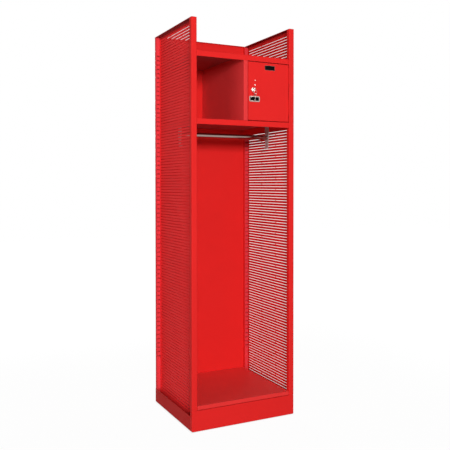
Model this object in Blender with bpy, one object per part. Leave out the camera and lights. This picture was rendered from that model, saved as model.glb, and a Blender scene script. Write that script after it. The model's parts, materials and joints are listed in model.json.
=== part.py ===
"""Open-front gear locker with slotted side frames, shelves, a coat rod and a small lock box."""
import math

import bmesh
import bpy
from mathutils import Vector

# Overall size, in metres
WIDTH = 0.6096
DEPTH = 0.5588
HEIGHT = 2.1336

# Side frames
SIDE_WIDTH = 0.0305
POST_LEG = 0.026
REAR_LEG = 0.019
TOP_LEG = 0.024
BOTTOM_RAIL = 0.0775

# Slotted sheets and the slotted strips in the rear posts
VENT_PITCH = 0.015875
VENT_SLOT = 0.0028
VENT_TIE = 0.006
VENT_LAP = 0.008
VENT_MARGIN = 0.0025
VENT_DROP = 0.014
LADDER_PITCH = 0.0254
LADDER_SLOT = 0.007
LADDER_WIDTH = 0.017
LADDER_FOOT = 0.19
LADDER_HEAD = 0.07
STRIP_DEPTH = 0.010

# Base, trays and back
KICK_HEIGHT = 0.108
FLOOR_SEAM = 0.0033
FLOOR_FLANGE = 0.020
LOWER_SHELF_DROP = 0.5156
UPPER_SHELF_DROP = 0.1676
SHELF_FLANGE = 0.0292
BACK_FLANGE = 0.018

# Divider and door
DIVIDER_SHIFT = -0.0051
DIVIDER_FACE = 0.0241
DIVIDER_LIP = 0.020
DIVIDER_FOOT = 0.020
DOOR_FLANGE = 0.017
DOOR_GAP = 0.003
HINGE_SIDE_GAP = 0.0042
SILL_HEIGHT = 0.016
SILL_FOOT = 0.018
SILL_CLEARANCE = 0.0015
STOP_WIDTH = 0.020
STOP_HEIGHT = 0.030
STOP_RISE = 0.090
BUMPER_RADIUS = 0.006

# Hinges
HINGE_HEIGHT = 0.0889
HINGE_TOP_INSET = 0.0166
HINGE_BOTTOM_INSET = 0.0356
KNUCKLE_RADIUS = 0.0035
PIN_RADIUS = 0.0019
PIN_CLEARANCE = 0.0001
PIN_HEAD = 0.0029
PIN_TIP = 0.002
LEAF_GAUGE = 0.0012
LEAF_DEPTH = 0.015

# Finger pull, badge and lock
PULL_WIDTH = 0.063
PULL_HEIGHT = 0.030
PULL_RIM = 0.004
PULL_DEPTH = 0.013
PULL_INSET = 0.0042
PULL_DROP = 0.1985
BEZEL_THICK = 0.002
CUP_GAUGE = 0.0012
BADGE_WIDTH = 0.061
BADGE_HEIGHT = 0.0254
BADGE_THICK = 0.0012
BADGE_CORNER = 0.003
BADGE_SHIFT = 0.0054
BADGE_DROP = 0.0271
LOCK_INSET = 0.029
LOCK_DROP = 0.1498
LOCK_HEAD = 0.0028
LOCK_HEAD_RADIUS = 0.0115
LOCK_BARREL = 0.009
PLUG_RADIUS = 0.006
PLUG_CLEARANCE = 0.0001
NUT_RADIUS = 0.0132
NUT_THICK = 0.004
CAM_GAUGE = 0.002
CAM_CLEARANCE = 0.001
CAM_WIDTH = 0.015
CAM_OVERLAP = 0.010
CAM_CORNER = 0.004
TAIL_SIDE = 0.007
SCREW_RADIUS = 0.002
SCREW_HEAD = 0.005
SCREW_HEAD_THICK = 0.002
SCREW_LENGTH = 0.008

# Keys and ring
KEY_GAUGE = 0.002
KEY_BLADE = 0.0075
KEY_DEPTH = 0.014
KEY_NECK = 0.0035
KEY_BOW = 0.0085
KEY_BOW_HALF = 0.012
KEY_HOLE = 0.0028
KEY_HOLE_SHIFT = 0.0045
KEY_STEM = 0.024
KEY_TIP = 0.0022
KEY_TIP_HALF = 0.0011
RING_RADIUS = 0.011
RING_WIRE = 0.0009

# Coat rod, brackets and bolts
ROD_RADIUS = 0.0127
ROD_CHAMFER = 0.001
ROD_DROP = 0.0673
ROD_SETBACK = 0.249
BRACKET_GAUGE = 0.0025
BRACKET_WIDTH = 0.043
BRACKET_NECK = 0.032
BRACKET_DROP = 0.130
BRACKET_FLANGE = 0.030
BRACKET_FOOT = 0.012
BRACKET_BOLT_INSET = 0.019
BOLT_RADIUS = 0.003
BOLT_HEAD = 0.005
BOLT_HEAD_THICK = 0.003

# Sheet gauges, bends and clearances
FRAME_GAUGE = 0.0019
SHEET_GAUGE = 0.0015
SEAT_GAP = 0.0003
CUT_MARGIN = 0.004

# Bend radii in gauges, pan corners in bend radii, and the shares of a crowned head that stay flat
BEND = 2.0
PAN_CORNER = 1.5
CROWN_FACE = 0.7
CROWN_SIDE = 0.4

# Steps of the round shapes
BEND_STEPS = 3
ROUND_STEPS = 16
LOCK_STEPS = 24
BOLT_STEPS = 8
LEAF_STEPS = 13
WIRE_STEPS = 6
NUT_SIDES = 6
SMOOTH_DEGREES = 40

# Sizes that follow from the driving ones
PROUD = SEAT_GAP + LOCK_HEAD + KEY_NECK + KEY_BOW + KEY_HOLE_SHIFT + KEY_BOW_HALF
FRONT = (PROUD - DEPTH) / 2
REAR = FRONT + DEPTH
HALF = WIDTH / 2
INSIDE = HALF - SIDE_WIDTH
POST_TOP = HEIGHT - FRAME_GAUGE - SEAT_GAP
BACK_FACE = REAR - SHEET_GAUGE - SEAT_GAP
TRAY_HALF = INSIDE - SEAT_GAP
NOTCH_HALF = TRAY_HALF - SHEET_GAUGE - SEAT_GAP
FLOOR_TOP = KICK_HEIGHT + FLOOR_SEAM + FLOOR_FLANGE
LOWER_TOP = HEIGHT - LOWER_SHELF_DROP
UPPER_TOP = HEIGHT - UPPER_SHELF_DROP
DIVIDER_LEFT = DIVIDER_SHIFT
DIVIDER_RIGHT = DIVIDER_LEFT + DIVIDER_FACE
DOOR_LEFT = DIVIDER_RIGHT + DOOR_GAP
DOOR_RIGHT = INSIDE - HINGE_SIDE_GAP
DOOR_LOW = LOWER_TOP + DOOR_GAP
DOOR_HIGH = UPPER_TOP - SHELF_FLANGE - DOOR_GAP
HINGE_X = INSIDE - HINGE_SIDE_GAP / 2
HINGE_Y = FRONT - KNUCKLE_RADIUS - SEAT_GAP
LOCK_X = DOOR_LEFT + LOCK_INSET
LOCK_Z = DOOR_HIGH - LOCK_DROP
LOCK_FACE = FRONT - SEAT_GAP - LOCK_HEAD
LOCK_END = FRONT + DIVIDER_LIP + CAM_CLEARANCE
CAM_FRONT = LOCK_END + 2 * SEAT_GAP
CAM_REACH = LOCK_X - DIVIDER_RIGHT + CAM_OVERLAP
BOW_Y = LOCK_FACE - KEY_NECK - KEY_BOW
RING_Y = BOW_Y - KEY_HOLE_SHIFT
RING_TOP = LOCK_Z - (KEY_HOLE - RING_WIRE - SEAT_GAP)
ROD_Y = FRONT + ROD_SETBACK
ROD_Z = LOWER_TOP - ROD_DROP
BRACKET_X = TRAY_HALF - SHEET_GAUGE - SEAT_GAP
BRACKET_TOP = LOWER_TOP - SHEET_GAUGE - SEAT_GAP
BOLT_HOLE = BOLT_RADIUS + SEAT_GAP
BOLT_Y = FRONT + (POST_LEG - VENT_LAP) / 2

# Surface finishes: colour, metallic, roughness
FINISHES = {
    "red_paint": ((0.78, 0.020, 0.018, 1.0), 0.0, 0.36),
    "chrome": ((0.78, 0.79, 0.80, 1.0), 1.0, 0.14),
    "zinc_steel": ((0.52, 0.53, 0.55, 1.0), 1.0, 0.38),
    "black_plastic": ((0.012, 0.012, 0.013, 1.0), 0.0, 0.42),
    "black_rubber": ((0.020, 0.020, 0.020, 1.0), 0.0, 0.85),
}


def finish_material(slot):
    """Return the shared material of a finish, making it on first use."""
    found = bpy.data.materials.get(slot)
    if found:
        return found
    colour, metallic, roughness = FINISHES[slot]
    material = bpy.data.materials.new(slot)
    material.use_nodes = True
    shader = material.node_tree.nodes["Principled BSDF"]
    shader.inputs["Base Color"].default_value = colour
    shader.inputs["Metallic"].default_value = metallic
    shader.inputs["Roughness"].default_value = roughness
    material.diffuse_color = colour
    return material


def add(name, mesh, slot, origin=(0.0, 0.0, 0.0), parent=None, smooth=False):
    """Turn a bmesh in world coordinates into an object with its origin at a chosen point."""
    bmesh.ops.recalc_face_normals(mesh, faces=mesh.faces)
    bmesh.ops.translate(mesh, verts=mesh.verts, vec=-Vector(origin))
    data = bpy.data.meshes.new(name)
    mesh.to_mesh(data)
    mesh.free()
    item = bpy.data.objects.new(name, data)
    bpy.context.scene.collection.objects.link(item)
    item.location = Vector(origin)
    if parent:
        item.parent = parent
        item.location = Vector(origin) - parent.matrix_world.translation
    if slot:
        data.materials.append(finish_material(slot))
    if smooth:
        data.shade_smooth()
        data.set_sharp_from_angle(angle=math.radians(SMOOTH_DEGREES))
    return item


def axis_empty(name, point, parent=None):
    """Make an empty that marks a joint axis."""
    item = bpy.data.objects.new(name, None)
    bpy.context.scene.collection.objects.link(item)
    item.location = Vector(point)
    if parent:
        item.parent = parent
        item.location = Vector(point) - parent.matrix_world.translation
    bpy.context.view_layer.update()
    return item


def cut(target, cutter):
    """Take a cutter out of an object."""
    cutter.hide_render = True
    cutter.display_type = "WIRE"
    step = target.modifiers.new("cut_" + cutter.name, "BOOLEAN")
    step.operation = "DIFFERENCE"
    step.solver = "EXACT"
    step.object = cutter


def spot(point, distance, axis):
    """Place a section point at a distance along the axis of a prism."""
    if axis == "X":
        return (distance, point[0], point[1])
    if axis == "Y":
        return (point[0], distance, point[1])
    return (point[0], point[1], distance)


def prism_into(mesh, outline, low, high, axis, holes=()):
    """Add a straight prism with an outline and through holes to a bmesh."""
    edges = []
    mate = {}
    loops = []
    for loop in (outline, *holes):
        below = [mesh.verts.new(spot(point, low, axis)) for point in loop]
        above = [mesh.verts.new(spot(point, high, axis)) for point in loop]
        mate.update(zip(below, above))
        loops.append(below)
    if holes:
        for below in loops:
            edges += [mesh.edges.new(pair) for pair in zip(below, below[1:] + below[:1])]
        filled = bmesh.ops.triangle_fill(mesh, use_beauty=True, use_dissolve=False, edges=edges)
        caps = [item for item in filled["geom"] if isinstance(item, bmesh.types.BMFace)]
    else:
        caps = [mesh.faces.new(loops[0])]
    for cap in caps:
        mesh.faces.new([mate[corner] for corner in reversed(cap.verts)])
    for below in loops:
        for first, second in zip(below, below[1:] + below[:1]):
            mesh.faces.new((first, second, mate[second], mate[first]))


def prism(name, outline, low, high, axis, slot, holes=(), **options):
    """Make one prism object."""
    mesh = bmesh.new()
    prism_into(mesh, outline, low, high, axis, holes)
    return add(name, mesh, slot, **options)


def boxes(name, corners):
    """Make a cutter of separate boxes, each given by its low and high corner."""
    mesh = bmesh.new()
    for low, high in corners:
        prism_into(mesh, rectangle(low[0], low[1], high[0], high[1]), low[2], high[2], "Z")
    return add(name, mesh, None)


def rectangle(low_u, low_v, high_u, high_v):
    """Corners of a plain rectangle."""
    return [(low_u, low_v), (high_u, low_v), (high_u, high_v), (low_u, high_v)]


def rounded(low_u, low_v, high_u, high_v, radius, steps=2):
    """Corners of a rectangle with rounded corners."""
    points = []
    centres = (
        (high_u - radius, low_v + radius, -90),
        (high_u - radius, high_v - radius, 0),
        (low_u + radius, high_v - radius, 90),
        (low_u + radius, low_v + radius, 180),
    )
    for centre_u, centre_v, start in centres:
        for step in range(steps + 1):
            angle = math.radians(start + 90 * step / steps)
            points.append((centre_u + radius * math.cos(angle), centre_v + radius * math.sin(angle)))
    return points


def circle(centre_u, centre_v, radius, steps):
    """Points of a regular polygon that stands for a circle."""
    turns = [2 * math.pi * (step + 0.5) / steps for step in range(steps)]
    return [(centre_u + radius * math.cos(turn), centre_v + radius * math.sin(turn)) for turn in turns]


def fold(path, gauge):
    """Outline of a strip bent along a path whose square corners all turn left."""
    radius = BEND * gauge
    points = [Vector(point) for point in path]
    start = (points[1] - points[0]).normalized()
    end = (points[-1] - points[-2]).normalized()
    outer = [points[0]]
    inner = [points[0] + Vector((-start.y, start.x)) * gauge]
    for before, corner, after in zip(points, points[1:], points[2:]):
        into = (corner - before).normalized()
        out = (after - corner).normalized()
        centre = corner - into * radius + out * radius
        for step in range(BEND_STEPS + 1):
            angle = math.pi / 2 * step / BEND_STEPS
            spoke = into * math.sin(angle) - out * math.cos(angle)
            outer.append(centre + spoke * radius)
            inner.append(centre + spoke * (radius - gauge))
    outer.append(points[-1])
    inner.append(points[-1] + Vector((-end.y, end.x)) * gauge)
    return [tuple(point) for point in outer + inner[::-1]]


def pan(name, low, high, depth, gauge, place, slot, **options):
    """Make a folded pan: a plate with four flanges, set in the world by a placing function."""
    bend = BEND * gauge
    corner = PAN_CORNER * bend
    angles = [math.pi / 2 * step / BEND_STEPS for step in range(BEND_STEPS + 1)]
    outer = [(bend - bend * math.cos(turn), -bend + bend * math.sin(turn)) for turn in angles]
    inside = bend - gauge
    inner = [(bend - inside * math.cos(turn), -bend + inside * math.sin(turn)) for turn in angles]
    rings = inner[::-1] + [(gauge, -depth), (0.0, -depth)] + outer
    mesh = bmesh.new()
    loops = []
    for inset, height in rings:
        spans = (low[0] + inset, low[1] + inset, high[0] - inset, high[1] - inset)
        ring = rounded(*spans, corner - inset)
        loops.append([mesh.verts.new(place(u, v, height)) for u, v in ring])
    mesh.faces.new(loops[0])
    mesh.faces.new(loops[-1])
    for below, above in zip(loops, loops[1:]):
        size = len(below)
        for index in range(size):
            after = (index + 1) % size
            mesh.faces.new((below[index], below[after], above[after], above[index]))
    return add(name, mesh, slot, **options)


def lathe_into(mesh, profile, centre, axis, steps, ring=False):
    """Add a turned solid to a bmesh: a profile of radius and distance along the axis."""
    rows = []
    for radius, distance in profile:
        if radius == 0.0:
            rows.append([mesh.verts.new(spot((centre[0], centre[1]), distance, axis))])
            continue
        points = circle(centre[0], centre[1], radius, steps)
        rows.append([mesh.verts.new(spot(point, distance, axis)) for point in points])
    pairs = list(zip(rows, rows[1:]))
    if ring:
        pairs.append((rows[-1], rows[0]))
    for first, second in pairs:
        for step in range(steps):
            after = (step + 1) % steps
            corners = [first[step % len(first)], first[after % len(first)]]
            corners += [second[after % len(second)], second[step % len(second)]]
            mesh.faces.new(list(dict.fromkeys(corners)))


def lathe(name, profile, centre, axis, steps, slot, ring=False, **options):
    """Make one turned object."""
    mesh = bmesh.new()
    lathe_into(mesh, profile, centre, axis, steps, ring)
    return add(name, mesh, slot, smooth=True, **options)


def side_frame(side, left):
    """Make one side frame: two posts, two rails and the slotted sheet on its right-hand plane."""
    right = left + SIDE_WIDTH
    front_path = [
        (left, FRONT + POST_LEG),
        (left, FRONT),
        (right, FRONT),
        (right, FRONT + POST_LEG),
    ]
    front_outline = fold(front_path, FRAME_GAUGE)
    foot = KICK_HEIGHT + SEAT_GAP
    front_post = prism(side + "_front_post", front_outline, foot, POST_TOP, "Z", "red_paint")
    rear_path = [
        (right, REAR - REAR_LEG),
        (right, REAR),
        (left, REAR),
        (left, REAR - REAR_LEG),
    ]
    rear_outline = fold(rear_path, FRAME_GAUGE)
    rear_foot = BEND * FRAME_GAUGE + SEAT_GAP
    rear_post = prism(side + "_rear_post", rear_outline, rear_foot, POST_TOP, "Z", "red_paint")
    cut(rear_post, foot_notches(side, left, right))
    slot_strip(side, left, right)
    bottom_path = [(left, BOTTOM_RAIL), (left, 0.0), (right, 0.0), (right, BOTTOM_RAIL)]
    bottom_outline = fold(bottom_path, FRAME_GAUGE)
    behind_kick = FRONT + POST_LEG + SEAT_GAP
    prism(side + "_bottom_rail", bottom_outline, behind_kick, REAR, "Y", "red_paint")
    top_path = [(right, HEIGHT - TOP_LEG), (right, HEIGHT), (left, HEIGHT)]
    top_outline = fold(top_path, FRAME_GAUGE)
    top_rail = prism(side + "_top_rail", top_outline, FRONT, REAR, "Y", "red_paint")
    cut(top_rail, rail_notches(side, right))
    vent_sheet(side, right)
    return front_post


def foot_notches(side, left, right):
    """Make the cutter that leaves only the rear post's web between the legs of the bottom rail."""
    low_y = REAR - REAR_LEG - CUT_MARGIN
    high_y = REAR + CUT_MARGIN
    wall = FRAME_GAUGE + SEAT_GAP
    top = BOTTOM_RAIL + SEAT_GAP
    left_box = ((left - CUT_MARGIN, low_y, -CUT_MARGIN), (left + wall, high_y, top))
    right_box = ((right - wall, low_y, -CUT_MARGIN), (right + CUT_MARGIN, high_y, top))
    return boxes(side + "_foot_cutter", [left_box, right_box])


def slot_strip(side, left, right):
    """Make the slotted strip for shelf clips that stands inside a rear post."""
    low_x = left + FRAME_GAUGE + SEAT_GAP
    high_x = right - FRAME_GAUGE - SHEET_GAUGE - 2 * SEAT_GAP
    back = REAR - BEND * FRAME_GAUGE - SEAT_GAP
    face = back - STRIP_DEPTH
    path = [(low_x, back), (low_x, face), (high_x, face), (high_x, back)]
    foot = BOTTOM_RAIL + SEAT_GAP
    strip = prism(side + "_slot_strip", fold(path, SHEET_GAUGE), foot, POST_TOP, "Z", "red_paint")
    middle = (low_x + high_x) / 2
    first = BOTTOM_RAIL + LADDER_FOOT
    count = int((HEIGHT - LADDER_HEAD - first) / LADDER_PITCH)
    corners = []
    for step in range(count):
        low = first + step * LADDER_PITCH
        start = (middle - LADDER_WIDTH / 2, face - CUT_MARGIN, low)
        stop = (middle + LADDER_WIDTH / 2, face + SHEET_GAUGE + CUT_MARGIN, low + LADDER_SLOT)
        corners.append((start, stop))
    cut(strip, boxes(side + "_ladder_cutter", corners))
    return strip


def rail_notches(side, right):
    """Make the cutter that clears the top rail's leg for the legs of both posts."""
    low_x = right - SIDE_WIDTH / 2
    high_x = right + CUT_MARGIN
    low_z = HEIGHT - TOP_LEG - CUT_MARGIN
    high_z = HEIGHT - FRAME_GAUGE
    front_edge = FRONT + POST_LEG + SEAT_GAP
    rear_edge = REAR - REAR_LEG - SEAT_GAP
    front_box = ((low_x, FRONT - CUT_MARGIN, low_z), (high_x, front_edge, high_z))
    rear_box = ((low_x, rear_edge, low_z), (high_x, REAR + CUT_MARGIN, high_z))
    return boxes(side + "_rail_cutter", [front_box, rear_box])


def vent_sheet(side, right):
    """Make the slotted sheet that lies behind the legs on the right-hand plane of a frame."""
    face = right - FRAME_GAUGE - SEAT_GAP
    edge = FRONT + POST_LEG - VENT_LAP
    step_edge = FRONT + POST_LEG + SEAT_GAP
    step_top = KICK_HEIGHT + SEAT_GAP
    far_edge = REAR - REAR_LEG + VENT_LAP
    slot_foot = BOTTOM_RAIL - VENT_DROP
    foot = slot_foot - VENT_LAP
    head = HEIGHT - TOP_LEG + VENT_LAP
    outline = [
        (step_edge, foot),
        (far_edge, foot),
        (far_edge, head),
        (edge, head),
        (edge, step_top),
        (step_edge, step_top),
    ]
    start = FRONT + POST_LEG + VENT_MARGIN
    stop = REAR - REAR_LEG - VENT_MARGIN
    top = HEIGHT - TOP_LEG - VENT_MARGIN
    rows = int((top - VENT_SLOT - slot_foot) / VENT_PITCH) + 1
    near = face - SHEET_GAUGE - CUT_MARGIN
    far = face + CUT_MARGIN
    corners = []
    for row in range(rows):
        high = top - row * VENT_PITCH
        low = high - VENT_SLOT
        if row % 2:
            corners.append(((near, start, low), (far, stop, high)))
            continue
        third = 1 / 3 if row % 4 else 2 / 3
        tie = start + (stop - start) * third
        corners.append(((near, start, low), (far, tie - VENT_TIE / 2, high)))
        corners.append(((near, tie + VENT_TIE / 2, low), (far, stop, high)))
    sheet = prism(side + "_vent_sheet", outline, face - SHEET_GAUGE, face, "X", "red_paint")
    cut(sheet, boxes(side + "_vent_cutter", corners))
    return sheet


def bolt(name, centre, axis, grip_low, grip_high, reach):
    """Make one bolt with its head at the low end of the grip and its nut at the high end."""
    head = grip_low - reach * SEAT_GAP
    nut = grip_high + reach * SEAT_GAP
    profile = [
        (0.0, head - reach * BOLT_HEAD_THICK),
        (BOLT_HEAD * CROWN_FACE, head - reach * BOLT_HEAD_THICK),
        (BOLT_HEAD, head - reach * BOLT_HEAD_THICK * CROWN_SIDE),
        (BOLT_HEAD, head),
        (BOLT_RADIUS, head),
        (BOLT_RADIUS, nut),
        (BOLT_HEAD, nut),
        (BOLT_HEAD, nut + reach * BOLT_HEAD_THICK),
        (0.0, nut + reach * BOLT_HEAD_THICK),
    ]
    return lathe(name, profile, centre, axis, BOLT_STEPS, "zinc_steel")


def carcass():
    """Make the side frames, kick plate, trays, back panel, divider and their bolts."""
    left_post = side_frame("left", -HALF)
    right_post = side_frame("right", INSIDE)
    kick_low = (-HALF, 0.0)
    kick_high = (HALF, KICK_HEIGHT)
    pan("kick_plate", kick_low, kick_high, POST_LEG, FRAME_GAUGE, on_front, "red_paint")
    back_low = (-TRAY_HALF, 0.0)
    back_high = (TRAY_HALF, HEIGHT)
    pan("back_panel", back_low, back_high, BACK_FLANGE, SHEET_GAUGE, on_back, "red_paint")
    trays = [
        tray("floor_pan", FLOOR_TOP, FLOOR_FLANGE),
        tray("lower_shelf", LOWER_TOP, SHELF_FLANGE),
        tray("upper_shelf", UPPER_TOP, SHELF_FLANGE),
    ]
    notches = corner_notches()
    holes = bolt_holes()
    for item in trays:
        cut(item, notches)
        cut(item, holes)
    cut(left_post, holes)
    cut(right_post, holes)
    shelf_bolts()
    divider()
    return trays[1]


def on_back(u, v, height):
    """Placing function for a plate that faces the rear."""
    return (u, REAR + height, v)


def on_front(u, v, height):
    """Placing function for a plate that faces the front."""
    return (u, FRONT - height, v)


def tray(name, top, flange):
    """Make a tray with its plate on top and its flanges turned down."""
    low = (-TRAY_HALF, FRONT)
    high = (TRAY_HALF, BACK_FACE)
    return pan(name, low, high, flange, SHEET_GAUGE, lambda u, v, height: (u, v, top + height), "red_paint")


def corner_notches():
    """Make the cutter that clears the trays' rear corners for the back panel's flanges."""
    near = REAR - BACK_FLANGE - SEAT_GAP
    far = REAR + CUT_MARGIN
    wide = TRAY_HALF + CUT_MARGIN
    left_box = ((-wide, near, 0.0), (-NOTCH_HALF, far, HEIGHT))
    right_box = ((NOTCH_HALF, near, 0.0), (wide, far, HEIGHT))
    return boxes("corner_cutter", [left_box, right_box])


def bolt_spots():
    """Names and heights of the bolts that hold the three trays to the front posts."""
    return (
        ("floor", FLOOR_TOP - FLOOR_FLANGE / 2),
        ("lower_shelf", LOWER_TOP - SHELF_FLANGE / 2),
        ("upper_shelf", UPPER_TOP - SHELF_FLANGE / 2),
    )


def bolt_holes():
    """Make the cutter for the bolt holes in the trays' flanges and the front posts' legs."""
    mesh = bmesh.new()
    near = INSIDE - SHEET_GAUGE - CUT_MARGIN
    far = INSIDE + FRAME_GAUGE + CUT_MARGIN
    for _, height in bolt_spots():
        outline = circle(BOLT_Y, height, BOLT_HOLE, BOLT_STEPS)
        prism_into(mesh, outline, near, far, "X")
        prism_into(mesh, outline, -far, -near, "X")
    return add("bolt_cutter", mesh, None)


def shelf_bolts():
    """Make the bolts that hold the three trays to the front posts."""
    near = TRAY_HALF - SHEET_GAUGE
    far = INSIDE + FRAME_GAUGE
    for place, height in bolt_spots():
        centre = (BOLT_Y, height)
        bolt("right_" + place + "_bolt", centre, "X", near, far, 1)
        bolt("left_" + place + "_bolt", centre, "X", -near, -far, -1)


def divider():
    """Make the folded divider between the open cubby and the lock box."""
    path = [
        (DIVIDER_LEFT + DIVIDER_FOOT, BACK_FACE),
        (DIVIDER_LEFT, BACK_FACE),
        (DIVIDER_LEFT, FRONT),
        (DIVIDER_RIGHT, FRONT),
        (DIVIDER_RIGHT, FRONT + DIVIDER_LIP),
    ]
    low = LOWER_TOP + SEAT_GAP
    high = UPPER_TOP - SHEET_GAUGE - SEAT_GAP
    item = prism("divider", fold(path, SHEET_GAUGE), low, high, "Z", "red_paint")
    left = DIVIDER_LEFT - CUT_MARGIN
    right = DIVIDER_RIGHT + CUT_MARGIN
    level = UPPER_TOP - SHELF_FLANGE - SEAT_GAP
    top = UPPER_TOP + CUT_MARGIN
    front_edge = FRONT + DIVIDER_LIP + SEAT_GAP
    rear_edge = BACK_FACE - (1 + BEND) * SHEET_GAUGE - SEAT_GAP
    front_box = ((left, FRONT - CUT_MARGIN, level), (right, front_edge, top))
    rear_box = ((left, rear_edge, level), (right, REAR + CUT_MARGIN, top))
    cut(item, boxes("divider_cutter", [front_box, rear_box]))
    return item


def hanging_gear(lower_shelf):
    """Make the coat rod, its two brackets and the bolts that hold them under the lower shelf."""
    blunt = ROD_RADIUS - ROD_CHAMFER
    short = BRACKET_X - ROD_CHAMFER
    rod = [
        (0.0, -BRACKET_X),
        (blunt, -BRACKET_X),
        (ROD_RADIUS, -short),
        (ROD_RADIUS, short),
        (blunt, BRACKET_X),
        (0.0, BRACKET_X),
    ]
    lathe("coat_rod", rod, (ROD_Y, ROD_Z), "X", LOCK_STEPS, "chrome", origin=(0.0, ROD_Y, ROD_Z))
    cutter = bracket_cutter()
    holes = bracket_holes()
    cut(lower_shelf, holes)
    low = BRACKET_TOP - BRACKET_DROP
    near = ROD_Y - BRACKET_WIDTH / 2
    far = ROD_Y + BRACKET_WIDTH / 2
    left_path = [
        (-BRACKET_X + BRACKET_FLANGE, BRACKET_TOP),
        (-BRACKET_X, BRACKET_TOP),
        (-BRACKET_X, low),
        (-BRACKET_X + BRACKET_FOOT, low),
    ]
    right_path = [(-across, up) for across, up in reversed(left_path)]
    for side, path in (("left", left_path), ("right", right_path)):
        outline = fold(path, BRACKET_GAUGE)
        bracket = prism(side + "_rod_bracket", outline, near, far, "Y", "zinc_steel")
        cut(bracket, cutter)
        cut(bracket, holes)
    for side, across in zip(("left", "right"), bracket_bolt_lines()):
        bolt(side + "_bracket_bolt", (across, ROD_Y), "Z", LOWER_TOP, BRACKET_TOP - BRACKET_GAUGE, -1)


def bracket_bolt_lines():
    """Cross positions of the two bracket bolts."""
    across = BRACKET_X - BRACKET_BOLT_INSET
    return (-across, across)


def bracket_cutter():
    """Make the cutter for the brackets' narrow lower ends and the rod's holes."""
    mesh = bmesh.new()
    wide = BRACKET_X + CUT_MARGIN
    top = ROD_Z - ROD_RADIUS - BRACKET_GAUGE * 2
    low = BRACKET_TOP - BRACKET_DROP - CUT_MARGIN
    neck = BRACKET_NECK / 2
    edge = BRACKET_WIDTH / 2
    front = [
        (ROD_Y - edge - CUT_MARGIN, low),
        (ROD_Y - neck, low),
        (ROD_Y - neck, top - (edge - neck)),
        (ROD_Y - edge - CUT_MARGIN, top + CUT_MARGIN),
    ]
    rear = [(2 * ROD_Y - along, up) for along, up in reversed(front)]
    prism_into(mesh, front, -wide, wide, "X")
    prism_into(mesh, rear, -wide, wide, "X")
    bore = circle(ROD_Y, ROD_Z, ROD_RADIUS + SEAT_GAP, LOCK_STEPS)
    prism_into(mesh, bore, -wide, wide, "X")
    return add("bracket_cutter", mesh, None)


def bracket_holes():
    """Make the cutter for the bracket bolts' holes."""
    mesh = bmesh.new()
    for across in bracket_bolt_lines():
        outline = circle(across, ROD_Y, BOLT_HOLE, BOLT_STEPS)
        prism_into(mesh, outline, BRACKET_TOP - BRACKET_GAUGE - CUT_MARGIN, LOWER_TOP + CUT_MARGIN, "Z")
    return add("bracket_hole_cutter", mesh, None)


def lock_box_door():
    """Make the door with its hinges, pull, badge, stop and lock."""
    hinge_point = (HINGE_X, HINGE_Y, (DOOR_LOW + DOOR_HIGH) / 2)
    swing = axis_empty("door_axis", hinge_point)
    low = (DOOR_LEFT, DOOR_LOW)
    high = (DOOR_RIGHT, DOOR_HIGH)
    options = {"origin": hinge_point, "parent": swing}
    door = pan("door", low, high, DOOR_FLANGE, SHEET_GAUGE, on_front, "red_paint", **options)
    hinge("upper", DOOR_HIGH - HINGE_TOP_INSET - HINGE_HEIGHT, swing)
    hinge("lower", DOOR_LOW + HINGE_BOTTOM_INSET, swing)
    finger_pull(door, swing)
    badge_x = (DOOR_LEFT + DOOR_RIGHT) / 2 + BADGE_SHIFT
    badge_z = DOOR_HIGH - BADGE_DROP
    badge = rounded(
        badge_x - BADGE_WIDTH / 2,
        badge_z - BADGE_HEIGHT / 2,
        badge_x + BADGE_WIDTH / 2,
        badge_z + BADGE_HEIGHT / 2,
        BADGE_CORNER,
    )
    badge_back = FRONT - SEAT_GAP
    badge_front = badge_back - BADGE_THICK
    prism("badge_plate", badge, badge_front, badge_back, "Y", "black_plastic", parent=swing)
    lock(door, swing)
    door_sill()
    door_stop()


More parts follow.
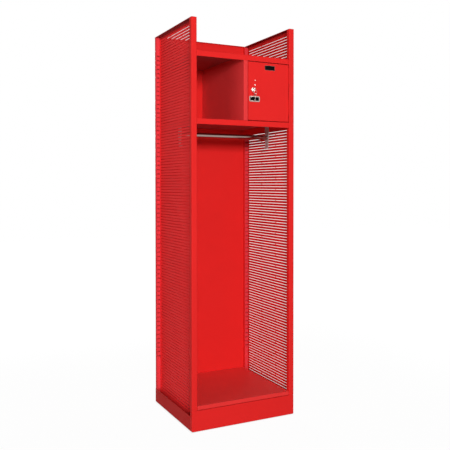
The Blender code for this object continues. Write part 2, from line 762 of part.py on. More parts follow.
def hinge(place, low, swing):
    """Make one three-knuckle butt hinge: frame leaf, door leaf and pin."""
    high = low + HINGE_HEIGHT
    third = HINGE_HEIGHT / 3
    bore = circle(HINGE_X, HINGE_Y, PIN_RADIUS + PIN_CLEARANCE, ROUND_STEPS)
    frame_face = INSIDE - SEAT_GAP
    frame_outline = leaf_outline(frame_face - LEAF_GAUGE, frame_face)
    door_face = DOOR_RIGHT + SEAT_GAP
    door_outline = leaf_outline(door_face, door_face + LEAF_GAUGE)
    frame_name = place + "_hinge_frame_leaf"
    frame_leaf = prism(frame_name, frame_outline, low, high, "Z", "red_paint", [bore], smooth=True)
    options = {"parent": swing, "origin": (HINGE_X, HINGE_Y, low), "smooth": True}
    door_name = place + "_hinge_door_leaf"
    door_leaf = prism(door_name, door_outline, low, high, "Z", "red_paint", [bore], **options)
    reach = KNUCKLE_RADIUS + SEAT_GAP
    near = HINGE_Y - KNUCKLE_RADIUS - CUT_MARGIN
    far = HINGE_Y + KNUCKLE_RADIUS + SEAT_GAP
    left = HINGE_X - reach
    right = HINGE_X + reach
    gap = SEAT_GAP / 2
    middle = ((left, near, low + third - gap), (right, far, high - third + gap))
    bottom = ((left, near, low - CUT_MARGIN), (right, far, low + third + gap))
    top = ((left, near, high - third - gap), (right, far, high + CUT_MARGIN))
    cut(frame_leaf, boxes(place + "_frame_knuckle_cutter", [middle]))
    cut(door_leaf, boxes(place + "_door_knuckle_cutter", [bottom, top]))
    pin = [
        (0.0, low - SEAT_GAP - PIN_TIP),
        (PIN_HEAD * CROWN_FACE, low - SEAT_GAP - PIN_TIP),
        (PIN_HEAD, low - SEAT_GAP - PIN_TIP * CROWN_SIDE),
        (PIN_HEAD, low - SEAT_GAP),
        (PIN_RADIUS, low - SEAT_GAP),
        (PIN_RADIUS, high + SEAT_GAP),
        (PIN_HEAD, high + SEAT_GAP),
        (PIN_HEAD, high + SEAT_GAP + PIN_TIP * CROWN_SIDE),
        (PIN_HEAD * CROWN_FACE, high + SEAT_GAP + PIN_TIP),
        (0.0, high + SEAT_GAP + PIN_TIP),
    ]
    lathe(place + "_hinge_pin", pin, (HINGE_X, HINGE_Y), "Z", ROUND_STEPS, "red_paint")


def leaf_outline(left, right):
    """Plan of a hinge leaf: a flat plate that runs into a round knuckle."""
    left_rise = math.acos((left - HINGE_X) / KNUCKLE_RADIUS)
    right_rise = math.acos((right - HINGE_X) / KNUCKLE_RADIUS)
    sweep = 2 * math.pi - left_rise + right_rise
    points = [(right, FRONT + LEAF_DEPTH), (left, FRONT + LEAF_DEPTH)]
    for step in range(LEAF_STEPS + 1):
        turn = left_rise + sweep * step / LEAF_STEPS
        across = HINGE_X + KNUCKLE_RADIUS * math.cos(turn)
        along = HINGE_Y + KNUCKLE_RADIUS * math.sin(turn)
        points.append((across, along))
    return points


def finger_pull(door, swing):
    """Make the recessed finger pull: a cup let into the door and a bezel over its rim."""
    left = DOOR_LEFT + PULL_INSET
    low = DOOR_HIGH - PULL_DROP - PULL_HEIGHT / 2
    right = left + PULL_WIDTH
    high = low + PULL_HEIGHT
    cup_low = (left + PULL_RIM, low + PULL_RIM)
    cup_high = (right - PULL_RIM, high - PULL_RIM)
    corner = PAN_CORNER * BEND * CUP_GAUGE
    back = FRONT + PULL_DEPTH
    pan(
        "pull_cup",
        cup_low,
        cup_high,
        PULL_DEPTH,
        CUP_GAUGE,
        lambda u, v, height: (u, back + height, v),
        "black_plastic",
        parent=swing,
    )
    hole = rounded(
        cup_low[0] - SEAT_GAP,
        cup_low[1] - SEAT_GAP,
        cup_high[0] + SEAT_GAP,
        cup_high[1] + SEAT_GAP,
        corner + SEAT_GAP,
    )
    cut(door, prism("pull_cutter", hole, FRONT - CUT_MARGIN, FRONT + CUT_MARGIN, "Y", None))
    mouth = rounded(
        cup_low[0] + CUP_GAUGE,
        cup_low[1] + CUP_GAUGE,
        cup_high[0] - CUP_GAUGE,
        cup_high[1] - CUP_GAUGE,
        corner - CUP_GAUGE,
    )
    rim = rounded(left, low, right, high, corner + PULL_RIM / 2)
    bezel_back = FRONT - SEAT_GAP
    bezel_front = bezel_back - BEZEL_THICK
    prism("pull_bezel", rim, bezel_front, bezel_back, "Y", "chrome", [mouth], parent=swing)


def lock(door, swing):
    """Make the cam lock with its key, and the ring that carries the spare key."""
    centre = (LOCK_X, LOCK_Z)
    face = LOCK_FACE
    bore = PLUG_RADIUS + PLUG_CLEARANCE
    hole = circle(LOCK_X, LOCK_Z, LOCK_BARREL + SEAT_GAP, LOCK_STEPS)
    cut(door, prism("lock_cutter", hole, FRONT - CUT_MARGIN, FRONT + CUT_MARGIN, "Y", None))
    housing = [
        (bore, face),
        (LOCK_HEAD_RADIUS - LOCK_HEAD * CROWN_SIDE, face),
        (LOCK_HEAD_RADIUS, face + LOCK_HEAD * CROWN_SIDE),
        (LOCK_HEAD_RADIUS, FRONT - SEAT_GAP),
        (LOCK_BARREL, FRONT - SEAT_GAP),
        (LOCK_BARREL, LOCK_END),
        (bore, LOCK_END),
    ]
    lathe("lock_housing", housing, centre, "Y", LOCK_STEPS, "chrome", ring=True, parent=swing)
    nut_face = FRONT + SHEET_GAUGE + SEAT_GAP
    nut = circle(LOCK_X, LOCK_Z, NUT_RADIUS, NUT_SIDES)
    nut_bore = circle(LOCK_X, LOCK_Z, LOCK_BARREL + SEAT_GAP, LOCK_STEPS)
    prism("lock_nut", nut, nut_face, nut_face + NUT_THICK, "Y", "zinc_steel", [nut_bore], parent=swing)
    point = (LOCK_X, face, LOCK_Z)
    turn = axis_empty("lock_axis", point, swing)
    lock_plug(centre, point, turn)
    cam_low = LOCK_Z - CAM_REACH
    cam_half = CAM_WIDTH / 2
    cam = rounded(LOCK_X - cam_half, cam_low, LOCK_X + cam_half, LOCK_Z + cam_half, CAM_CORNER)
    side = TAIL_SIDE / 2 + SEAT_GAP
    socket = rectangle(LOCK_X - side, LOCK_Z - side, LOCK_X + side, LOCK_Z + side)
    options = {"parent": turn, "origin": point}
    cam_back = CAM_FRONT + CAM_GAUGE
    prism("lock_cam", cam, CAM_FRONT, cam_back, "Y", "zinc_steel", [socket], **options)
    screw = [
        (0.0, cam_back + SEAT_GAP - SCREW_LENGTH),
        (SCREW_RADIUS, cam_back + SEAT_GAP - SCREW_LENGTH),
        (SCREW_RADIUS, cam_back + SEAT_GAP),
        (SCREW_HEAD, cam_back + SEAT_GAP),
        (SCREW_HEAD, cam_back + SEAT_GAP + SCREW_HEAD_THICK * CROWN_SIDE),
        (SCREW_HEAD * CROWN_FACE, cam_back + SEAT_GAP + SCREW_HEAD_THICK),
        (0.0, cam_back + SEAT_GAP + SCREW_HEAD_THICK),
    ]
    lathe("cam_screw", screw, centre, "Y", ROUND_STEPS, "zinc_steel", **options)
    keys(turn, point)


def lock_plug(centre, point, turn):
    """Make the turning plug with its keyway, its square tail and the screw's hole."""
    profile = [
        (0.0, LOCK_FACE),
        (PLUG_RADIUS, LOCK_FACE),
        (PLUG_RADIUS, LOCK_END + SEAT_GAP),
        (0.0, LOCK_END + SEAT_GAP),
    ]
    options = {"parent": turn, "origin": point}
    plug = lathe("lock_plug", profile, centre, "Y", LOCK_STEPS, "chrome", **options)
    half = TAIL_SIDE / 2
    tail = rectangle(LOCK_X - half, LOCK_Z - half, LOCK_X + half, LOCK_Z + half)
    tail_end = CAM_FRONT + CAM_GAUGE
    body = LOCK_END - CAM_GAUGE
    tail_item = prism("tail_former", tail, body, tail_end, "Y", None)
    tail_item.hide_render = True
    tail_item.display_type = "WIRE"
    join = plug.modifiers.new("join_tail", "BOOLEAN")
    join.operation = "UNION"
    join.solver = "EXACT"
    join.object = tail_item
    slot_x = KEY_GAUGE / 2 + SEAT_GAP
    slot_z = KEY_BLADE / 2 + SEAT_GAP
    near = (LOCK_X - slot_x, LOCK_FACE - CUT_MARGIN, LOCK_Z - slot_z)
    far = (LOCK_X + slot_x, LOCK_FACE + KEY_DEPTH + SEAT_GAP, LOCK_Z + slot_z)
    cut(plug, boxes("keyway_cutter", [(near, far)]))
    hole = circle(LOCK_X, LOCK_Z, SCREW_RADIUS + SEAT_GAP, ROUND_STEPS)
    depth = tail_end - SCREW_LENGTH
    cut(plug, prism("screw_cutter", hole, depth, tail_end + CUT_MARGIN, "Y", None))


def key_outline(bow_y, bow_z, reach, stem):
    """Outline of a key: an oval bow with a stem that leaves it towards the rear or downwards."""
    rise = math.asin(KEY_BLADE / 2 / KEY_BOW_HALF)
    sweep = 2 * math.pi - 2 * rise
    points = []
    for step in range(ROUND_STEPS):
        angle = rise + sweep * step / (ROUND_STEPS - 1)
        points.append((KEY_BOW * math.cos(angle), KEY_BOW_HALF * math.sin(angle)))
    tip = KEY_BOW + stem
    half = KEY_BLADE / 2
    points += [(tip - KEY_TIP, -half), (tip, -KEY_TIP_HALF), (tip, KEY_TIP_HALF), (tip - KEY_TIP, half)]
    along, up = reach
    return [(bow_y + u * along - v * up, bow_z + v * along + u * up) for u, v in points]


def keys(turn, point):
    """Make the key in the lock, the ring through its bow and the spare key below."""
    near = LOCK_X - KEY_GAUGE / 2
    far = LOCK_X + KEY_GAUGE / 2
    stem = KEY_NECK + KEY_DEPTH
    outline = key_outline(BOW_Y, LOCK_Z, (1, 0), stem)
    hole = circle(RING_Y, LOCK_Z, KEY_HOLE, ROUND_STEPS)
    prism("key", outline, near, far, "X", "chrome", [hole], parent=turn, origin=point)
    hang_point = (LOCK_X, RING_Y, RING_TOP)
    hang = axis_empty("ring_axis", hang_point, turn)
    mesh = bmesh.new()
    middle = Vector((LOCK_X, RING_Y, RING_TOP - RING_RADIUS))
    rows = []
    for step in range(ROUND_STEPS):
        angle = 2 * math.pi * step / ROUND_STEPS
        spoke = Vector((math.sin(angle), 0.0, math.cos(angle)))
        row = []
        for around in range(WIRE_STEPS):
            lean = 2 * math.pi * around / WIRE_STEPS
            lift = spoke * (RING_RADIUS + RING_WIRE * math.cos(lean))
            row.append(mesh.verts.new(middle + lift + Vector((0.0, RING_WIRE * math.sin(lean), 0.0))))
        rows.append(row)
    for first, second in zip(rows, rows[1:] + rows[:1]):
        for around in range(WIRE_STEPS):
            after = (around + 1) % WIRE_STEPS
            mesh.faces.new((first[around], first[after], second[after], second[around]))
    add("key_ring", mesh, "chrome", origin=hang_point, parent=hang, smooth=True)
    eye = RING_TOP - 2 * RING_RADIUS - (KEY_HOLE - RING_WIRE - SEAT_GAP)
    bow_z = eye - KEY_HOLE_SHIFT
    spare = key_outline(RING_Y, bow_z, (0, -1), KEY_STEM)
    spare_hole = circle(RING_Y, eye, KEY_HOLE, ROUND_STEPS)
    prism("spare_key", spare, near, far, "X", "chrome", [spare_hole], parent=hang, origin=hang_point)


def door_sill():
    """Make the angle on the lower shelf behind the foot of the closed door."""
    face = FRONT + DOOR_FLANGE + SILL_CLEARANCE
    base = LOWER_TOP + SEAT_GAP
    path = [(face, base + SILL_HEIGHT), (face, base), (face + SILL_FOOT, base)]
    left = DIVIDER_RIGHT + SEAT_GAP
    right = TRAY_HALF - SHEET_GAUGE - SEAT_GAP
    prism("door_sill", fold(path, SHEET_GAUGE), left, right, "X", "red_paint")


def door_stop():
    """Make the clip on the divider's lip that the door closes against, and its rubber bumper."""
    inner = BEND * SHEET_GAUGE - SHEET_GAUGE
    left = DIVIDER_RIGHT - 2 * SHEET_GAUGE - SEAT_GAP
    leg_front = FRONT + DIVIDER_LIP + SEAT_GAP + inner
    back = leg_front + SHEET_GAUGE
    path = [(left + STOP_WIDTH, back), (left, back), (left, FRONT + DIVIDER_LIP / 2)]
    low = DOOR_LOW + STOP_RISE - STOP_HEIGHT
    high = DOOR_LOW + STOP_RISE
    prism("door_stop", fold(path, SHEET_GAUGE), low, high, "Z", "zinc_steel")
    centre = (DOOR_LEFT + BUMPER_RADIUS, (low + high) / 2)
    bumper = [
        (0.0, FRONT + DOOR_FLANGE + SEAT_GAP),
        (BUMPER_RADIUS, FRONT + DOOR_FLANGE + SEAT_GAP),
        (BUMPER_RADIUS, leg_front - SEAT_GAP),
        (0.0, leg_front - SEAT_GAP),
    ]
    lathe("door_bumper", bumper, centre, "Y", ROUND_STEPS, "black_rubber")


def build():
    """Clear the scene and make the whole locker."""
    for item in list(bpy.data.objects):
        bpy.data.objects.remove(item)
    lower_shelf = carcass()
    hanging_gear(lower_shelf)
    lock_box_door()


build()
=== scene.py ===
"""Looks for the gear locker: paint, plating, small hardware, studio light and the photo's camera."""

import json
import math

import bmesh
import bpy
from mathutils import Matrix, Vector


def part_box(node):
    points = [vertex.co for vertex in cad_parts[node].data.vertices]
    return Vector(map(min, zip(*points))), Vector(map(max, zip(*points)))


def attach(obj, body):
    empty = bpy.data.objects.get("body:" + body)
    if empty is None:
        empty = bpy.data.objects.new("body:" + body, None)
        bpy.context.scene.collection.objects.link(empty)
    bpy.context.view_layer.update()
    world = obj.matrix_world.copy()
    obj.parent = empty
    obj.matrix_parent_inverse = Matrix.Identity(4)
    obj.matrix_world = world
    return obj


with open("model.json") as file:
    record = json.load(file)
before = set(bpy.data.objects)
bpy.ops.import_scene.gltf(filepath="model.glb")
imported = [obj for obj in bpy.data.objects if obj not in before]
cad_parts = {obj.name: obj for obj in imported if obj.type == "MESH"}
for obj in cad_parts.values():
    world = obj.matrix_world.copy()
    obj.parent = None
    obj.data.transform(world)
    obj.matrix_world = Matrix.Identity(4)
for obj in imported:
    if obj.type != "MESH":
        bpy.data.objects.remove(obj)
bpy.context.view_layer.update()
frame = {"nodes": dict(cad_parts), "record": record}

# The red of most painted pieces, as two nearby colours
RED = ((0.750, 0.0215, 0.0200), (0.690, 0.0195, 0.0182))

# What all enamels share: roughness range, metallic, mottle scale, grain scale and grain height
ENAMEL = ((0.42, 0.52), 0.0, 5.0, 420.0, 0.035)

# Paint and plating: two nearby colours, and then the values that an enamel has. Several paints are copies of
# the red with painted shade, light or sheen in their colour.
LOOKS = {
    "red_paint": (*RED, *ENAMEL),
    "chrome": ((0.47, 0.44, 0.43), (0.37, 0.35, 0.34), (0.14, 0.26), 1.0, 30.0, 700.0, 0.010),
    "zinc_steel": ((0.46, 0.44, 0.43), (0.36, 0.35, 0.34), (0.36, 0.54), 1.0, 45.0, 600.0, 0.030),
    "black_plastic": ((0.003, 0.0028, 0.0028), (0.005, 0.0046, 0.0046), (0.38, 0.52), 0.0, 40.0, 900.0, 0.04),
    "black_rubber": ((0.018, 0.018, 0.018), (0.026, 0.026, 0.025), (0.70, 0.90), 0.0, 60.0, 800.0, 0.060),
    # The same red; the painted shade and sheen of the next three looks sit in the facing tones further down
    "post_paint_shaded_front": (*RED, *ENAMEL),
    "pan_paint_sheened_top": (*RED, *ENAMEL),
    "shelf_paint_shaded_below": (*RED, *ENAMEL),
    # Darker red on the top rails: painted shade, with painted shade on their undersides as well
    "cap_paint_shaded": ((0.600, 0.0225, 0.0225), (0.555, 0.0205, 0.0205), *ENAMEL),
    # Darker red on the bottom rails: painted shade near the floor
    "rail_paint_shaded": ((0.560, 0.0170, 0.0155), (0.515, 0.0155, 0.0141), *ENAMEL),
    # Greyer red on the divider: painted sheen in its shade
    "divider_paint_sheened": ((0.740, 0.0430, 0.0440), (0.685, 0.0395, 0.0405), *ENAMEL),
    # Brighter red on the left slotted sheet only: painted light
    "sheet_paint_lit": ((0.970, 0.0340, 0.0360), (0.910, 0.0310, 0.0330), *ENAMEL),
    # Paler, pinker red on the slot strips: painted light
    "strip_paint_lit": ((0.740, 0.0460, 0.0590), (0.690, 0.0420, 0.0540), *ENAMEL),
    "satin_nickel": ((0.52, 0.44, 0.41), (0.43, 0.37, 0.34), (0.30, 0.42), 1.0, 40.0, 700.0, 0.020),
    "dull_zinc": ((0.50, 0.42, 0.41), (0.41, 0.35, 0.34), (0.40, 0.56), 0.3, 45.0, 600.0, 0.030),
    # Coat rod steel with a brown tint: partly the steel, partly a painted reflection of the red inside
    "rod_steel": ((0.38, 0.28, 0.255), (0.30, 0.22, 0.20), (0.10, 0.16), 1.0, 30.0, 700.0, 0.010),
    "bright_nickel": ((0.80, 0.66, 0.63), (0.72, 0.59, 0.56), (0.30, 0.42), 1.0, 40.0, 700.0, 0.010),
    # Near-black red on the door sill: painted shade, so that the gap under the door reads dark
    "gap_shade_paint": ((0.130, 0.0080, 0.0080), (0.100, 0.0065, 0.0065), (0.55, 0.70), 0.0, 8.0, 420.0, 0.035),
    "pale_trim": ((0.22, 0.18, 0.17), (0.17, 0.14, 0.13), (0.30, 0.45), 0.6, 50.0, 800.0, 0.020),
}

# Strength of the highlight, and the looks where it differs
USUAL_SHEEN = 0.5
SHEEN = {
    "red_paint": 0.02,
    "post_paint_shaded_front": 0.02,
    "pan_paint_sheened_top": 0.30,
    "shelf_paint_shaded_below": 0.02,
    "cap_paint_shaded": 0.02,
    "rail_paint_shaded": 0.02,
    "divider_paint_sheened": 0.02,
    "sheet_paint_lit": 0.02,
    "strip_paint_lit": 0.02,
    "gap_shade_paint": 0.02,
    "black_plastic": 0.02,
}

# Detail of the mottle and of the grain, and the depth of the grain
MOTTLE_DETAIL = 4.0
GRAIN_DETAIL = 2.0
GRAIN_DEPTH = 0.001

# Painted shade and painted sheen on the faces that look one way: axis, where it sets in and is full, and
# colour
DOWN_OR_FRONT = (-0.6, -0.9)
UP = (0.6, 0.9)
PAINTED_FACING_LIGHT = {
    # Rear posts' front faces darker: painted shade in the hollows behind the slot strips
    "post_paint_shaded_front": ("Y", DOWN_OR_FRONT, (0.580, 0.0300, 0.0360)),
    # Shelves' undersides darker: painted shade
    "shelf_paint_shaded_below": ("Z", DOWN_OR_FRONT, (0.420, 0.0620, 0.0640)),
    # Top rails' undersides darker: painted shade
    "cap_paint_shaded": ("Z", DOWN_OR_FRONT, (0.300, 0.0400, 0.0420)),
    # Floor pan's top paler and greyer: painted sheen
    "pan_paint_sheened_top": ("Z", UP, (0.750, 0.0480, 0.0440)),
}

# Nodes whose look differs from that of their material slot; most of these looks carry painted shade, light or
# sheen
OWN_LOOK = {
    "left_rear_post": "post_paint_shaded_front",
    "right_rear_post": "post_paint_shaded_front",
    "floor_pan": "pan_paint_sheened_top",
    "lower_shelf": "shelf_paint_shaded_below",
    "upper_shelf": "shelf_paint_shaded_below",
    "left_top_rail": "cap_paint_shaded",
    "right_top_rail": "cap_paint_shaded",
    "left_bottom_rail": "rail_paint_shaded",
    "right_bottom_rail": "rail_paint_shaded",
    "divider": "divider_paint_sheened",
    "left_vent_sheet": "sheet_paint_lit",
    "left_slot_strip": "strip_paint_lit",
    "right_slot_strip": "strip_paint_lit",
    "left_rod_bracket": "dull_zinc",
    "right_rod_bracket": "dull_zinc",
    "coat_rod": "rod_steel",
    # Painted shade in the gap under the door
    "door_sill": "gap_shade_paint",
    "pull_bezel": "satin_nickel",
    "key": "satin_nickel",
    "spare_key": "satin_nickel",
}

# Rivets above the lock: offset across and up from the lock's middle, and radius
RIVETS = ((0.0107, 0.0265, 0.0042), (0.0117, 0.0510, 0.0032))
RIVET_HEIGHT = 0.0020
DOME_LEVELS = 4
DOME_STEPS = 16

# Border of the badge: width of its band, and how far it stands out
BADGE_BAND = 0.0010
BADGE_RISE = 0.0004

# Edges of the small hardware that bend by more than this stay sharp
SHARP_ANGLE = math.radians(40)

# White surroundings: their colour, and their level as light
WHITE = (1.0, 1.0, 1.0, 1.0)
AMBIENT = 0.04

# Floor: dark under the locker, white with a faint shadow around it and fully white further off
FLOOR_REACH = 12.0
FLOOR_DROP = 0.0005
FLOOR_GREYS = (0.48, 0.52)
FLOOR_MOTTLE = 3.0
FLOOR_GLOW = 1.02
FLOOR_EDGE = (-0.03, 0.01)
FLOOR_FADE = (0.6, 2.6)
FLOOR_UNDER = 0.0
FLOOR_NEAR = 0.95

# Soft lamps: name, place, aim, size and power
LAMPS = (
    ("key", (-2.4, -8.0, 2.4), (0.0, 0.0, 1.1), (1.6, 1.6), 548.0),
    ("left", (-6.0, -2.5, 2.2), (0.0, 0.0, 1.1), (3.0, 3.0), 98.0),
    ("top", (-0.6, -2.5, 5.0), (0.0, 0.0, 0.5), (2.0, 2.0), 22.0),
    ("right", (6.0, 1.5, 2.2), (0.0, 0.0, 1.1), (3.0, 3.0), 130.0),
    ("rear", (0.8, 7.0, 2.4), (0.0, 0.0, 1.1), (2.0, 2.0), 300.0),
)

# Camera of the photo: place, turn in degrees, sensor and lens in millimetres, and shift
CAMERA_PLACE = (-1.59806, -3.40332, 1.27587)
CAMERA_TURN = (90.0 - 1.004, 0.0, -27.818)
CAMERA_SENSOR = 36.0
CAMERA_LENS = 52.923
CAMERA_SHIFT = (-0.06566, -0.06369)


def surface(name):
    """Make a worked surface: mottled colour, uneven gloss and a fine grain, and for some looks painted shade
    or sheen on faces that look one way.
    """
    first, second, gloss, metallic, mottle, grain, height = LOOKS[name]
    material = bpy.data.materials.new("look_" + name)
    material.use_nodes = True
    tree = material.node_tree
    shader = tree.nodes["Principled BSDF"]
    place = tree.nodes.new("ShaderNodeTexCoord")
    broad = tree.nodes.new("ShaderNodeTexNoise")
    broad.inputs["Scale"].default_value = mottle
    broad.inputs["Detail"].default_value = MOTTLE_DETAIL
    tree.links.new(place.outputs["Object"], broad.inputs["Vector"])
    mix = tree.nodes.new("ShaderNodeMix")
    mix.data_type = "RGBA"
    mix.inputs["A"].default_value = (*first, 1.0)
    mix.inputs["B"].default_value = (*second, 1.0)
    tree.links.new(broad.outputs["Fac"], mix.inputs["Factor"])
    colour = mix.outputs["Result"]
    # Painted shade or sheen on the faces that look one way
    if name in PAINTED_FACING_LIGHT:
        colour = paint_facing_light(tree, place, colour, *PAINTED_FACING_LIGHT[name])
    tree.links.new(colour, shader.inputs["Base Color"])
    spread = tree.nodes.new("ShaderNodeMapRange")
    spread.inputs["To Min"].default_value, spread.inputs["To Max"].default_value = gloss
    tree.links.new(broad.outputs["Fac"], spread.inputs["Value"])
    tree.links.new(spread.outputs["Result"], shader.inputs["Roughness"])
    fine = tree.nodes.new("ShaderNodeTexNoise")
    fine.inputs["Scale"].default_value = grain
    fine.inputs["Detail"].default_value = GRAIN_DETAIL
    tree.links.new(place.outputs["Object"], fine.inputs["Vector"])
    bump = tree.nodes.new("ShaderNodeBump")
    bump.inputs["Strength"].default_value = height
    bump.inputs["Distance"].default_value = GRAIN_DEPTH
    tree.links.new(fine.outputs["Fac"], bump.inputs["Height"])
    tree.links.new(bump.outputs["Normal"], shader.inputs["Normal"])
    shader.inputs["Metallic"].default_value = metallic
    shader.inputs["Specular IOR Level"].default_value = SHEEN.get(name, USUAL_SHEEN)
    return material


def paint_facing_light(tree, place, colour, axis, span, tone):
    """Mix painted shade or painted sheen into the faces that look one way."""
    facing = tree.nodes.new("ShaderNodeSeparateXYZ")
    tree.links.new(place.outputs["Normal"], facing.inputs["Vector"])
    share = tree.nodes.new("ShaderNodeMapRange")
    share.inputs["From Min"].default_value, share.inputs["From Max"].default_value = span
    tree.links.new(facing.outputs[axis], share.inputs["Value"])
    mix = tree.nodes.new("ShaderNodeMix")
    mix.data_type = "RGBA"
    mix.inputs["B"].default_value = (*tone, 1.0)
    tree.links.new(colour, mix.inputs["A"])
    tree.links.new(share.outputs["Result"], mix.inputs["Factor"])
    return mix.outputs["Result"]


def dress(looks):
    """Give every CAD node its own look or that of its material slot."""
    for part in frame["record"]["subparts"]:
        node = frame["nodes"][part["node"]]
        node.data.materials.clear()
        node.data.materials.append(looks[OWN_LOOK.get(part["node"], part["material_slot"])])


def keep(name, mesh, look, body):
    """Turn a bmesh into a shown piece that rides on a CAD body."""
    bmesh.ops.recalc_face_normals(mesh, faces=mesh.faces)
    data = bpy.data.meshes.new(name)
    mesh.to_mesh(data)
    mesh.free()
    data.materials.append(look)
    data.shade_smooth()
    data.set_sharp_from_angle(angle=SHARP_ANGLE)
    piece = bpy.data.objects.new(name, data)
    bpy.context.scene.collection.objects.link(piece)
    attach(piece, body)


def band_of_faces(mesh, first, second):
    """Join two closed rows of points by a band of four-sided faces."""
    for step in range(len(first)):
        after = (step + 1) % len(first)
        mesh.faces.new((first[step], first[after], second[after], second[step]))


def dome(mesh, centre, facing, radius, height):
    """Add a low rivet dome that stands on a face."""
    facing = Vector(facing).normalized()
    side = facing.orthogonal().normalized()
    other = facing.cross(side)
    rows = []
    for level in range(DOME_LEVELS):
        angle = math.pi / 2 * level / DOME_LEVELS
        reach = radius * math.cos(angle)
        lift = height * math.sin(angle)
        row = []
        for step in range(DOME_STEPS):
            turn = 2 * math.pi * step / DOME_STEPS
            spoke = side * math.cos(turn) + other * math.sin(turn)
            row.append(mesh.verts.new(Vector(centre) + spoke * reach + facing * lift))
        rows.append(row)
    tip = mesh.verts.new(Vector(centre) + facing * height)
    for first, second in zip(rows, rows[1:]):
        band_of_faces(mesh, first, second)
    for step in range(DOME_STEPS):
        mesh.faces.new((rows[-1][step], rows[-1][(step + 1) % DOME_STEPS], tip))
    mesh.faces.new(rows[0])


def border(mesh, low, high, band, front, back):
    """Add a flat frame of a given band around a plate that faces the front."""
    rings = []
    for inset, depth in ((0.0, back), (0.0, front), (band, front), (band, back)):
        left, right = low.x + inset, high.x - inset
        foot, head = low.z + inset, high.z - inset
        corners = ((left, foot), (right, foot), (right, head), (left, head))
        rings.append([mesh.verts.new((across, depth, up)) for across, up in corners])
    for first, second in zip(rings, rings[1:] + rings[:1]):
        band_of_faces(mesh, first, second)


def small_hardware(looks):
    """Add the rivets above the lock and the badge's border."""
    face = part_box("door")[0].y
    lock_low, lock_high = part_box("lock_housing")
    lock_x = (lock_low.x + lock_high.x) / 2
    lock_z = (lock_low.z + lock_high.z) / 2
    rivets = bmesh.new()
    for across, up, radius in RIVETS:
        dome(rivets, (lock_x + across, face, lock_z + up), (0, -1, 0), radius, RIVET_HEIGHT)
    keep("lock_rivets", rivets, looks["bright_nickel"], "door")
    badge_low, badge_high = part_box("badge_plate")
    trim = bmesh.new()
    border(trim, badge_low, badge_high, BADGE_BAND, badge_low.y - BADGE_RISE, badge_low.y)
    keep("badge_border", trim, looks["pale_trim"], "door")


def seen_rays(tree):
    """Return a socket that is 1 for rays that show the background: straight, mirrored or through glass."""
    path = tree.nodes.new("ShaderNodeLightPath")
    seen = path.outputs["Is Camera Ray"]
    for kind in ("Is Glossy Ray", "Is Transmission Ray"):
        either = tree.nodes.new("ShaderNodeMath")
        either.operation = "MAXIMUM"
        tree.links.new(seen, either.inputs[0])
        tree.links.new(path.outputs[kind], either.inputs[1])
        seen = either.outputs["Value"]
    return seen


def surroundings():
    """Make the surroundings: white where they are seen, and dim as a light."""
    world = bpy.data.worlds.new("studio")
    bpy.context.scene.world = world
    world.use_nodes = True
    tree = world.node_tree
    sky = tree.nodes["Background"]
    level = tree.nodes.new("ShaderNodeMapRange")
    level.inputs["To Min"].default_value = AMBIENT
    level.inputs["To Max"].default_value = 1.0
    tree.links.new(seen_rays(tree), level.inputs["Value"])
    tree.links.new(level.outputs["Result"], sky.inputs["Strength"])
    sky.inputs["Color"].default_value = WHITE


def outside(tree, place):
    """Return a socket with the distance of a floor point from the locker's footprint."""
    low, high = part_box("kick_plate")
    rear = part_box("back_panel")[1].y
    middle = Vector(((low.x + high.x) / 2, (low.y + rear) / 2, 0.0))
    half = Vector(((high.x - low.x) / 2, (rear - low.y) / 2, 0.0))
    point = place.outputs["Object"]
    for operation, value in (("SUBTRACT", middle), ("ABSOLUTE", None), ("SUBTRACT", half)):
        step = tree.nodes.new("ShaderNodeVectorMath")
        step.operation = operation
        tree.links.new(point, step.inputs[0])
        if value:
            step.inputs[1].default_value = value
        point = step.outputs["Vector"]
    split = tree.nodes.new("ShaderNodeSeparateXYZ")
    tree.links.new(point, split.inputs["Vector"])
    reach = tree.nodes.new("ShaderNodeMath")
    reach.operation = "MAXIMUM"
    tree.links.new(split.outputs["X"], reach.inputs[0])
    tree.links.new(split.outputs["Y"], reach.inputs[1])
    return reach.outputs["Value"]


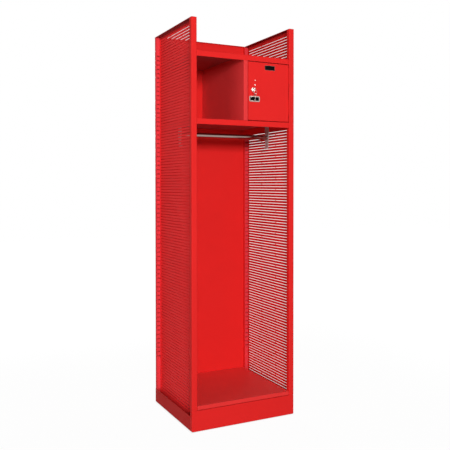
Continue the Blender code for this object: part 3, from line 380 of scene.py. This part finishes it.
def floor_look():
    """Make the pale floor: white where it is seen, with a faint shadow, and plain to other rays."""
    material = bpy.data.materials.new("look_floor")
    material.use_nodes = True
    tree = material.node_tree
    tree.nodes.clear()
    place = tree.nodes.new("ShaderNodeTexCoord")
    noise = tree.nodes.new("ShaderNodeTexNoise")
    noise.inputs["Scale"].default_value = FLOOR_MOTTLE
    tree.links.new(place.outputs["Object"], noise.inputs["Vector"])
    tone = tree.nodes.new("ShaderNodeMix")
    tone.data_type = "RGBA"
    for socket, grey in zip(("A", "B"), FLOOR_GREYS):
        tone.inputs[socket].default_value = (grey, grey, grey, 1.0)
    tree.links.new(noise.outputs["Fac"], tone.inputs["Factor"])
    matte = tree.nodes.new("ShaderNodeBsdfDiffuse")
    tree.links.new(tone.outputs["Result"], matte.inputs["Color"])
    glow = tree.nodes.new("ShaderNodeEmission")
    glow.inputs["Color"].default_value = WHITE
    glow.inputs["Strength"].default_value = FLOOR_GLOW
    share = seen_rays(tree)
    distance = outside(tree, place)
    for span, start in ((FLOOR_EDGE, FLOOR_UNDER), (FLOOR_FADE, FLOOR_NEAR)):
        fade = tree.nodes.new("ShaderNodeMapRange")
        fade.interpolation_type = "SMOOTHSTEP"
        fade.inputs["From Min"].default_value, fade.inputs["From Max"].default_value = span
        fade.inputs["To Min"].default_value = start
        tree.links.new(distance, fade.inputs["Value"])
        both = tree.nodes.new("ShaderNodeMath")
        both.operation = "MULTIPLY"
        tree.links.new(share, both.inputs[0])
        tree.links.new(fade.outputs["Result"], both.inputs[1])
        share = both.outputs["Value"]
    blend = tree.nodes.new("ShaderNodeMixShader")
    tree.links.new(share, blend.inputs["Fac"])
    tree.links.new(matte.outputs["BSDF"], blend.inputs[1])
    tree.links.new(glow.outputs["Emission"], blend.inputs[2])
    out = tree.nodes.new("ShaderNodeOutputMaterial")
    tree.links.new(blend.outputs["Shader"], out.inputs["Surface"])
    return material


def lay_floor():
    """Add the floor, just under the locker's feet."""
    grid = bmesh.new()
    bmesh.ops.create_grid(grid, x_segments=1, y_segments=1, size=FLOOR_REACH)
    data = bpy.data.meshes.new("floor")
    grid.to_mesh(data)
    grid.free()
    data.materials.append(floor_look())
    ground = bpy.data.objects.new("floor", data)
    ground.location.z = -FLOOR_DROP
    bpy.context.scene.collection.objects.link(ground)


def area_light(name, place, aim, size, power):
    """Add a soft square lamp that points at a spot."""
    lamp = bpy.data.lights.new(name, "AREA")
    lamp.shape = "RECTANGLE"
    lamp.size, lamp.size_y = size
    lamp.energy = power
    item = bpy.data.objects.new(name, lamp)
    item.location = place
    item.rotation_euler = (Vector(aim) - Vector(place)).to_track_quat("-Z", "Y").to_euler()
    bpy.context.scene.collection.objects.link(item)


def photo_camera():
    """Add the camera that stands where the photo was taken."""
    lens = bpy.data.cameras.new("photo")
    lens.sensor_width = CAMERA_SENSOR
    lens.lens = CAMERA_LENS
    lens.shift_x, lens.shift_y = CAMERA_SHIFT
    camera = bpy.data.objects.new("photo", lens)
    camera.location = CAMERA_PLACE
    camera.rotation_euler = [math.radians(angle) for angle in CAMERA_TURN]
    bpy.context.scene.collection.objects.link(camera)
    bpy.context.scene.camera = camera


def studio():
    """Make the white surroundings, the floor, the lamps and the camera."""
    surroundings()
    lay_floor()
    for lamp in LAMPS:
        area_light(*lamp)
    photo_camera()
    bpy.context.scene.view_settings.view_transform = "Standard"


looks = {name: surface(name) for name in LOOKS}
dress(looks)
small_hardware(looks)
studio()
